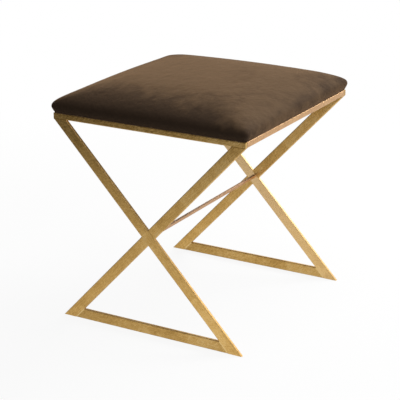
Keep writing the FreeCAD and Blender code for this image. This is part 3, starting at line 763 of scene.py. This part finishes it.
# Dust cover
# A sheet of black spunbonded cloth, hemmed by a single fold and stapled under the board over the velvet's
# raw edge. It sags by a millimetre or two between the staples.
cover_low, cover_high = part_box("dust_cover")
cover_half_x, cover_half_y = cover_high[0], cover_high[1]
hem_fold = 12 * MM
hem_depth = 0.15 * MM
cloth_thickness = 0.35 * MM
cover_level = cover_low[2] + 0.55 * MM
sag_depth = 1.28 * MM
pucker_depth = 0.12 * MM
pucker_wave_in, pucker_wave_along = 9 * MM, 11 * MM
pucker_start = 20 * MM
cells_x, cells_y = 72, 74
points, faces = [], []
for j in range(cells_y + 1):
    for i in range(cells_x + 1):
        x = -cover_half_x + 2 * cover_half_x * i / cells_x
        y = -cover_half_y + 2 * cover_half_y * j / cells_y
        inset = min(cover_half_x - abs(x), cover_half_y - abs(y))
        sag = sag_depth * (1 - (x / cover_half_x) ** 2) * (1 - (y / cover_half_y) ** 2)
        pucker = pucker_depth * math.sin(inset / pucker_wave_in) * math.cos((x + y) / pucker_wave_along)
        pucker *= min(1, inset / pucker_start)
        hem = hem_depth if inset < hem_fold else 0.0
        points.append((x, y, cover_level - sag - hem + pucker))
for j in range(cells_y):
    for i in range(cells_x):
        k = j * (cells_x + 1) + i
        faces.append((k, k + cells_x + 1, k + cells_x + 2, k + 1))
dust_sheet = mesh_object("dust_sheet", points, faces)
shade_smooth(dust_sheet)
thicken = dust_sheet.modifiers.new("thickness", "SOLIDIFY")
thicken.thickness = cloth_thickness
thicken.offset = 0.0
spunbond, tree, shader, here = new_material("spunbond")
place = add_node(tree, "ShaderNodeSeparateXYZ", {0: here}).outputs
dot_turns = 3600.0
dots_x = math_node(tree, "SINE", math_node(tree, "MULTIPLY", place["X"], dot_turns))
dots_y = math_node(tree, "SINE", math_node(tree, "MULTIPLY", place["Y"], dot_turns))
dots = fade(tree, math_node(tree, "MULTIPLY", dots_x, dots_y), 0.25, 0.75)
fibres = noise(tree, here, 1500.0, 4.0, 0.7)
tone = math_node(tree, "MULTIPLY_ADD", dots, -0.35, fibres)
cloth_tones = ramp(tree, tone, [(0.1, (0.006, 0.006, 0.006)), (0.7, (0.030, 0.029, 0.028))])
tree.links.new(cloth_tones, shader.inputs["Base Color"])
shader.inputs["Roughness"].default_value = 0.85
add_relief(tree, shader, tone, 0.6, 0.0002)
dust_sheet.data.materials.append(spunbond)
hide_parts("dust_cover")
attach(dust_sheet, "root")


# Staples
# Galvanised wire staples with a flattened crown, shot in a row round the dust cover's hem. Each stands on
# the place of its crown in the CAD node, and its legs go up into the board.
# the crowns are one mesh in the CAD node, so points that are joined are gathered into one cluster each
wires = nodes["staples"].data
spots = {}
owner = list(range(len(wires.vertices)))
for vertex in wires.vertices:
    key = tuple(round(c / (0.01 * MM)) for c in vertex.co)
    owner[vertex.index] = spots.setdefault(key, vertex.index)


def head_of(k):
    while owner[k] != k:
        owner[k] = owner[owner[k]]
        k = owner[k]
    return k


for edge in wires.edges:
    owner[head_of(edge.vertices[0])] = head_of(edge.vertices[1])
clusters = {}
for vertex in wires.vertices:
    clusters.setdefault(head_of(vertex.index), []).append(vertex.co)
staple_places = []
for cluster in clusters.values():
    low = Vector([min(c[k] for c in cluster) for k in range(3)])
    high = Vector([max(c[k] for c in cluster) for k in range(3)])
    quarter_turn = math.pi / 2 if high.y - low.y > high.x - low.x else 0.0
    staple_places.append((Vector(((low.x + high.x) / 2, (low.y + high.y) / 2, low.z)), quarter_turn))
wire_width = 1.2 * MM
wire_depth = 0.5 * MM
crown_half = 5.0 * MM
leg_rise = 3.2 * MM
half_path = [(crown_half - 0.7 * MM, wire_depth / 2), (crown_half - 0.25 * MM, wire_depth * 0.8),
             (crown_half, wire_depth * 1.5), (crown_half, leg_rise)]
path = [(-x, z) for x, z in reversed(half_path)] + [(0.0, wire_depth * 0.42)] + half_path
points, faces = [], []
for k, (x, z) in enumerate(path):
    before, after = path[max(k - 1, 0)], path[min(k + 1, len(path) - 1)]
    run = Vector((after[0] - before[0], 0, after[1] - before[1])).normalized()
    normal = Vector((run.z, 0, -run.x))
    for side_y, lift in ((-1, -1), (1, -1), (1, 1), (-1, 1)):
        points.append(Vector((x, side_y * wire_width / 2, z)) + normal * lift * wire_depth / 2)
for k in range(len(path) - 1):
    for n in range(4):
        m = (n + 1) % 4
        faces.append((k * 4 + n, k * 4 + m, k * 4 + 4 + m, k * 4 + 4 + n))
faces.append((3, 2, 1, 0))
faces.append(tuple(4 * (len(path) - 1) + n for n in range(4)))
staple_form = mesh_object("staple_form", points, faces)
shape = bmesh.new()
shape.from_mesh(staple_form.data)
bmesh.ops.recalc_face_normals(shape, faces=shape.faces)
sharp = [e for e in shape.edges if len(e.link_faces) == 2 and e.calc_face_angle(0) > 1.2]
bmesh.ops.bevel(shape, geom=sharp, offset=0.12 * MM, segments=1, affect="EDGES")
shape.to_mesh(staple_form.data)
shape.free()
wire_steel, tree, shader, here = new_material("staple_wire")
drawn = noise(tree, here, 1600.0, 3.0, 0.6)
steel_tones = ramp(tree, drawn, [(0.3, (0.42, 0.42, 0.42)), (0.7, (0.66, 0.66, 0.65))])
tree.links.new(steel_tones, shader.inputs["Base Color"])
tree.links.new(math_node(tree, "MULTIPLY_ADD", drawn, 0.2, 0.25), shader.inputs["Roughness"])
shader.inputs["Metallic"].default_value = 1.0


def tree_for(name, inputs):
    # an empty Geometry Nodes tree with named inputs, and its inputs and outputs
    tree = bpy.data.node_groups.new(name, "GeometryNodeTree")
    tree.interface.new_socket("Geometry", in_out="INPUT", socket_type="NodeSocketGeometry")
    for label, kind in inputs:
        tree.interface.new_socket(label, in_out="INPUT", socket_type=kind)
    tree.interface.new_socket("Geometry", in_out="OUTPUT", socket_type="NodeSocketGeometry")
    return tree, tree.nodes.new("NodeGroupInput").outputs, tree.nodes.new("NodeGroupOutput").inputs


def settle(piece, tree, **values):
    # runs the tree on the piece and keeps the plain mesh that it makes
    modifier = piece.modifiers.new("make", "NODES")
    modifier.node_group = tree
    for item in tree.interface.items_tree:
        if item.in_out == "INPUT" and item.name in values:
            modifier[item.identifier] = values[item.name]
    graph = bpy.context.evaluated_depsgraph_get()
    made = bpy.data.meshes.new_from_object(piece.evaluated_get(graph))
    piece.modifiers.remove(modifier)
    old = piece.data
    piece.data = made
    bpy.data.meshes.remove(old)


def spread_tree(name):
    # one instance of the form on each vertex, turned about +Z by the vertex's own turn
    tree, given, out = tree_for(name, (("Form", "NodeSocketObject"), ("Material", "NodeSocketMaterial")))
    form = add_node(tree, "GeometryNodeObjectInfo", {"Object": given["Form"]}).outputs["Geometry"]
    turn = add_node(tree, "GeometryNodeInputNamedAttribute", {"Name": "turn"},
                    data_type="FLOAT_VECTOR").outputs[0]
    spread = add_node(tree, "GeometryNodeInstanceOnPoints", {"Points": given["Geometry"], "Instance": form,
                                                            "Rotation": turn, "Scale": (1.0, 1.0, 1.0)})
    whole = add_node(tree, "GeometryNodeRealizeInstances", {"Geometry": spread.outputs[0]}).outputs[0]
    dressed = add_node(tree, "GeometryNodeSetMaterial", {"Geometry": whole, "Material": given["Material"]})
    tree.links.new(dressed.outputs[0], out["Geometry"])
    return tree


def spread_out(name, form, material, places):
    # places are (position, turn about +Z)
    piece = mesh_object(name, [p for p, _ in places])
    turns = piece.data.attributes.new("turn", "FLOAT_VECTOR", "POINT")
    for k, (_, turn) in enumerate(places):
        turns.data[k].vector = (0.0, 0.0, turn)
    settle(piece, spread_tree(name + " layout"), Form=form, Material=material)
    mesh = form.data
    bpy.data.objects.remove(form)
    bpy.data.meshes.remove(mesh)
    return piece


staple_row = spread_out("staple_row", staple_form, wire_steel, staple_places)
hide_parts("staples")
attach(staple_row, "root")


# Seat screws and washers
# Four zinc-plated pan-head screws with a cross recess, driven up through washer, corner plate and dust
# cover into the board.
zinc, tree, shader, here = new_material("zinc_plate")
spangle = add_node(tree, "ShaderNodeTexVoronoi", {"Vector": here, "Scale": 900.0}).outputs["Color"]
tree.links.new(mix_colour(tree, 0.25, (0.56, 0.56, 0.57, 1.0), spangle), shader.inputs["Base Color"])
dulled = math_node(tree, "MULTIPLY_ADD", noise(tree, here, 500.0), 0.2, 0.22)
tree.links.new(dulled, shader.inputs["Roughness"])
shader.inputs["Metallic"].default_value = 1.0
dress("washers", zinc)
screw_low, screw_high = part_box("seat_screws")
head_radius = 4.2 * MM
head_rise = 2.4 * MM
shank_radius = 2.0 * MM
shank_length = screw_high[2] - screw_low[2] - head_rise
thread_root = 0.72 * shank_radius
thread_end = 3.6 * MM
tip_radius, tip_length = 0.6 * shank_radius, 2.2 * MM
# half a screw's outline, from the middle of its rounded head up to its tip
profile = [(0.0, 0.0), (1.7 * MM, 0.08 * MM), (2.8 * MM, 0.35 * MM), (3.6 * MM, 0.85 * MM),
           (4.1 * MM, 1.5 * MM), (head_radius, 2.1 * MM), (head_radius, head_rise),
           (shank_radius, head_rise)]
turns = 9
for k in range(turns * 2):
    lift = head_rise + (shank_length - thread_end) * (k + 0.5) / (turns * 2)
    profile.append((shank_radius if k % 2 else thread_root, lift))
profile += [(tip_radius, head_rise + shank_length - tip_length), (0.0, head_rise + shank_length)]
sides = 24
points, faces = [(0.0, 0.0, 0.0)], []
for radius, lift in profile[1:-1]:
    for n in range(sides):
        angle = 2 * math.pi * n / sides
        points.append((radius * math.cos(angle), radius * math.sin(angle), lift))
points.append((0.0, 0.0, profile[-1][1]))
rows = len(profile) - 2
for n in range(sides):
    m = (n + 1) % sides
    faces.append((0, 1 + m, 1 + n))
    for row in range(rows - 1):
        a, b = 1 + row * sides, 1 + (row + 1) * sides
        faces.append((a + n, a + m, b + m, b + n))
    a = 1 + (rows - 1) * sides
    faces.append((a + n, a + m, len(points) - 1))
screw_form = mesh_object("screw_form", points, faces)
# the cross recess, wide at the head's face and narrowing inward
cross_half, cross_width, cross_deep = 2.1 * MM, 0.5 * MM, 1.5 * MM
arm = [(cross_half, -cross_width), (cross_half, cross_width), (cross_width, cross_width)]
outline = arm + [(-y, x) for x, y in arm] + [(-x, -y) for x, y in arm] + [(y, -x) for x, y in arm]
points = [(x * 1.05, y * 1.05, -0.5 * MM) for x, y in outline]
points += [(x * 0.45, y * 0.45, cross_deep) for x, y in outline]
faces = [tuple(range(11, -1, -1)), tuple(range(12, 24))]
faces += [(k, (k + 1) % 12, 12 + (k + 1) % 12, 12 + k) for k in range(12)]
recess = mesh_object("recess", points, faces)
face_outward(screw_form)
face_outward(recess)
cut = screw_form.modifiers.new("recess", "BOOLEAN")
cut.operation = "DIFFERENCE"
cut.solver = "EXACT"
cut.object = recess
graph = bpy.context.evaluated_depsgraph_get()
driven = bpy.data.meshes.new_from_object(screw_form.evaluated_get(graph))
screw_form.modifiers.remove(cut)
screw_form.data = driven
bpy.data.objects.remove(recess)
screw_x = screw_high[0] - head_radius
screw_y = screw_high[1] - head_radius
places = [(Vector((sx * screw_x, sy * screw_y, screw_low[2])), 0.3 + 0.7 * k)
          for k, (sx, sy) in enumerate(((-1, -1), (1, -1), (1, 1), (-1, 1)))]
screws = spread_out("screw_set", screw_form, zinc, places)
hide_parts("seat_screws")
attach(screws, "root")


# The studio
# A plain pale floor that runs to the horizon and an even pale surround. Two strong soft lamps stand behind
# the stool, weaker ones hang over it and stand at its right, and the weakest lights its front. The floor
# shows white to the camera and keeps the shadow. To the light it bounces it is paler near the stool and
# darker far off, a painted pool of light, and to the metal it glows with a painted reflection, bright
# behind and to the right and dark towards the front left.
floor = mesh_object("floor", [(-9, -9, 0), (9, -9, 0), (9, 9, 0), (-9, 9, 0)], [(0, 1, 2, 3)])
floor_paper = bpy.data.materials.new("studio_floor")
floor_paper.use_nodes = True
tree = floor_paper.node_tree
tree.nodes.remove(tree.nodes["Principled BSDF"])
rays = add_node(tree, "ShaderNodeLightPath").outputs
here = add_node(tree, "ShaderNodeTexCoord").outputs["Object"]
reach = add_node(tree, "ShaderNodeVectorMath", {0: here}, operation="LENGTH").outputs["Value"]
# to bounced light the floor is paler near the stool and darker far off, a painted pool of light; the camera
# sees it evenly pale
paper_painted_light_pool = fade(tree, reach, 0.75, 1.75, 0.85, 0.10)
paper_painted_light_pool = math_node(tree, "MAXIMUM", paper_painted_light_pool, math_node(tree, "MULTIPLY", rays["Is Camera Ray"], 0.85))
matt = add_node(tree, "ShaderNodeBsdfDiffuse", {"Color": paper_painted_light_pool}).outputs[0]
# to glossy rays the floor glows, bright behind and to the right of the stool and dark towards the front
# left: a painted reflection
leftward = add_node(tree, "ShaderNodeVectorMath", {0: here, 1: (-0.8, -0.25, 0.0)}, operation="DOT_PRODUCT")
painted_floor_reflection = ramp(tree, math_node(tree, "MULTIPLY_ADD", leftward.outputs["Value"], 0.4, 0.4),
               [(0.0, (0.98,) * 3), (0.40, (0.92,) * 3), (0.58, (0.71,) * 3), (0.66, (0.62,) * 3),
                (0.75, (0.37,) * 3), (0.86, (0.08,) * 3)])
level = mix_colour(tree, rays["Is Camera Ray"], painted_floor_reflection, (1.0, 1.0, 1.0, 1.0))
white_and_painted_glow = add_node(tree, "ShaderNodeEmission", {"Color": level, "Strength": 1.0}).outputs[0]
to_camera = math_node(tree, "MULTIPLY", rays["Is Camera Ray"], fade(tree, reach, 0.5, 1.8, 0.90, 1.0))
painted_glow_to_metal = math_node(tree, "MULTIPLY", rays["Is Glossy Ray"], 0.80)
seen = add_node(tree, "ShaderNodeMixShader", {"Fac": math_node(tree, "MAXIMUM", to_camera, painted_glow_to_metal)})
tree.links.new(matt, seen.inputs[1])
tree.links.new(white_and_painted_glow, seen.inputs[2])
tree.links.new(seen.outputs[0], tree.nodes["Material Output"].inputs["Surface"])
floor.data.materials.append(floor_paper)

world = bpy.data.worlds.new("studio")
scene.world = world
world.use_nodes = True
tree = world.node_tree
backdrop = tree.nodes["Background"]
ray = add_node(tree, "ShaderNodeLightPath").outputs["Is Camera Ray"]
backdrop.inputs["Color"].default_value = (1.0, 1.0, 1.0, 1.0)
tree.links.new(math_node(tree, "MULTIPLY_ADD", ray, 0.88, 0.12), backdrop.inputs["Strength"])


def lamp(name, place, target, width, height, power):
    light = bpy.data.lights.new(name, "AREA")
    light.shape = "RECTANGLE"
    light.size = width
    light.size_y = height
    light.energy = power
    holder = bpy.data.objects.new(name, light)
    scene.collection.objects.link(holder)
    holder.location = place
    holder.rotation_euler = (Vector(target) - Vector(place)).to_track_quat("-Z", "Y").to_euler()


lamp("key_lamp", (1.2, 2.1, 2.2), (0, 0, 0.4), 1.8, 1.2, 72.0)
lamp("back_panel", (-0.4, 3.2, 1.9), (0, 0, 0.3), 7.0, 2.2, 52.0)
lamp("top_panel", (0.6, 0.0, 3.0), (0, 0, 0.3), 1.6, 1.6, 25.0)
lamp("side_panel", (3.2, 0.2, 1.2), (0, 0, 0.3), 2.0, 2.0, 25.0)
lamp("front_card", (2.0, -2.3, 1.9), (0, 0, 0.3), 2.2, 1.6, 16.5)


# The camera
# Placed by fitting the frame's drawn outline to the photograph: nearly 3 m away, well above the seat, and
# looking down by 19 degrees.
camera_place = Vector((1.3938, -2.4165, 1.2052))
yaw, pitch, roll = math.radians(30.17), math.radians(-19.24), math.radians(-0.38)
lens_pixels, frame_pixels = 1336.06, 400.0
view = bpy.data.cameras.new("camera")
view.sensor_width = 36.0
view.lens = lens_pixels / frame_pixels * view.sensor_width
view.clip_end = 60.0
camera = bpy.data.objects.new("camera", view)
scene.collection.objects.link(camera)
ahead = Vector((-math.sin(yaw) * math.cos(pitch), math.cos(yaw) * math.cos(pitch), math.sin(pitch)))
right = Vector((math.cos(yaw), math.sin(yaw), 0))
up = right.cross(ahead)
right_rolled = right * math.cos(roll) + up * math.sin(roll)
up_rolled = up * math.cos(roll) - right * math.sin(roll)
turned = Matrix((right_rolled, up_rolled, -ahead)).transposed().to_4x4()
camera.matrix_world = Matrix.Translation(camera_place) @ turned
scene.camera = camera

scene.view_settings.view_transform = "Standard"
